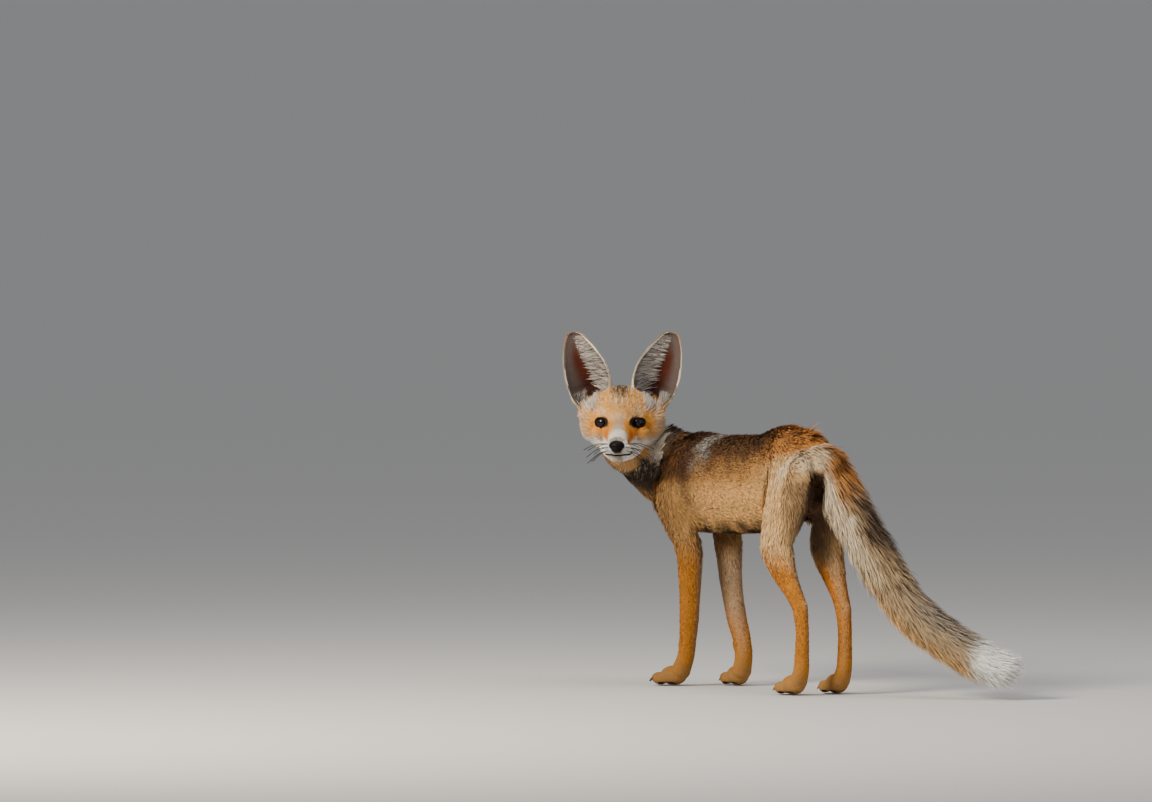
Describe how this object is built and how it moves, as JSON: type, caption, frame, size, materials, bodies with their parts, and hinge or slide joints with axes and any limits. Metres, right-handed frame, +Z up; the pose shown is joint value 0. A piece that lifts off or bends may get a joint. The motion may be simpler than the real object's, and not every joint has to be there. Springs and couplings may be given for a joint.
{
  "type": "sand fox",
  "caption": "Life-size sand fox standing on all fours, head turned back over its shoulder, large cupped ears, bushy tail trailing to its right.",
  "frame": {"origin": "centre of the whole fox's footprint box, on the ground", "axes": "+Z up; the fox's body heads towards -Y, its left side is +X, and its tail trails to +Y and -X"},
  "size_m": [0.2466, 0.5584, 0.3837],
  "materials": {
    "face_fur": "short soft fur",
    "nose_leather": "moist black leather",
    "ear": "thin skin with pale fur",
    "eye": "glossy dark brown",
    "neck_fur": "dense fur",
    "body_fur": "dense fur",
    "leg_fur": "short close fur",
    "paw": "short close fur with dark pads",
    "tail_fur": "long bushy fur",
    "tail_tip_fur": "long white fur"
  },
  "bodies": {
    "root": {"head": "face_fur", "nose": "nose_leather", "ear_left": "ear", "ear_right": "ear", "eye_left": "eye", "eye_right": "eye", "neck": "neck_fur", "torso": "body_fur", "foreleg_left": "leg_fur", "foreleg_right": "leg_fur", "shank_left": "leg_fur", "shank_right": "leg_fur", "forepaw_left": "paw", "forepaw_right": "paw", "hind_foot_left": "paw", "hind_foot_right": "paw", "tail_base": "tail_fur", "tail_middle": "tail_fur", "tail_tip": "tail_tip_fur"}
  },
  "joints": []
}
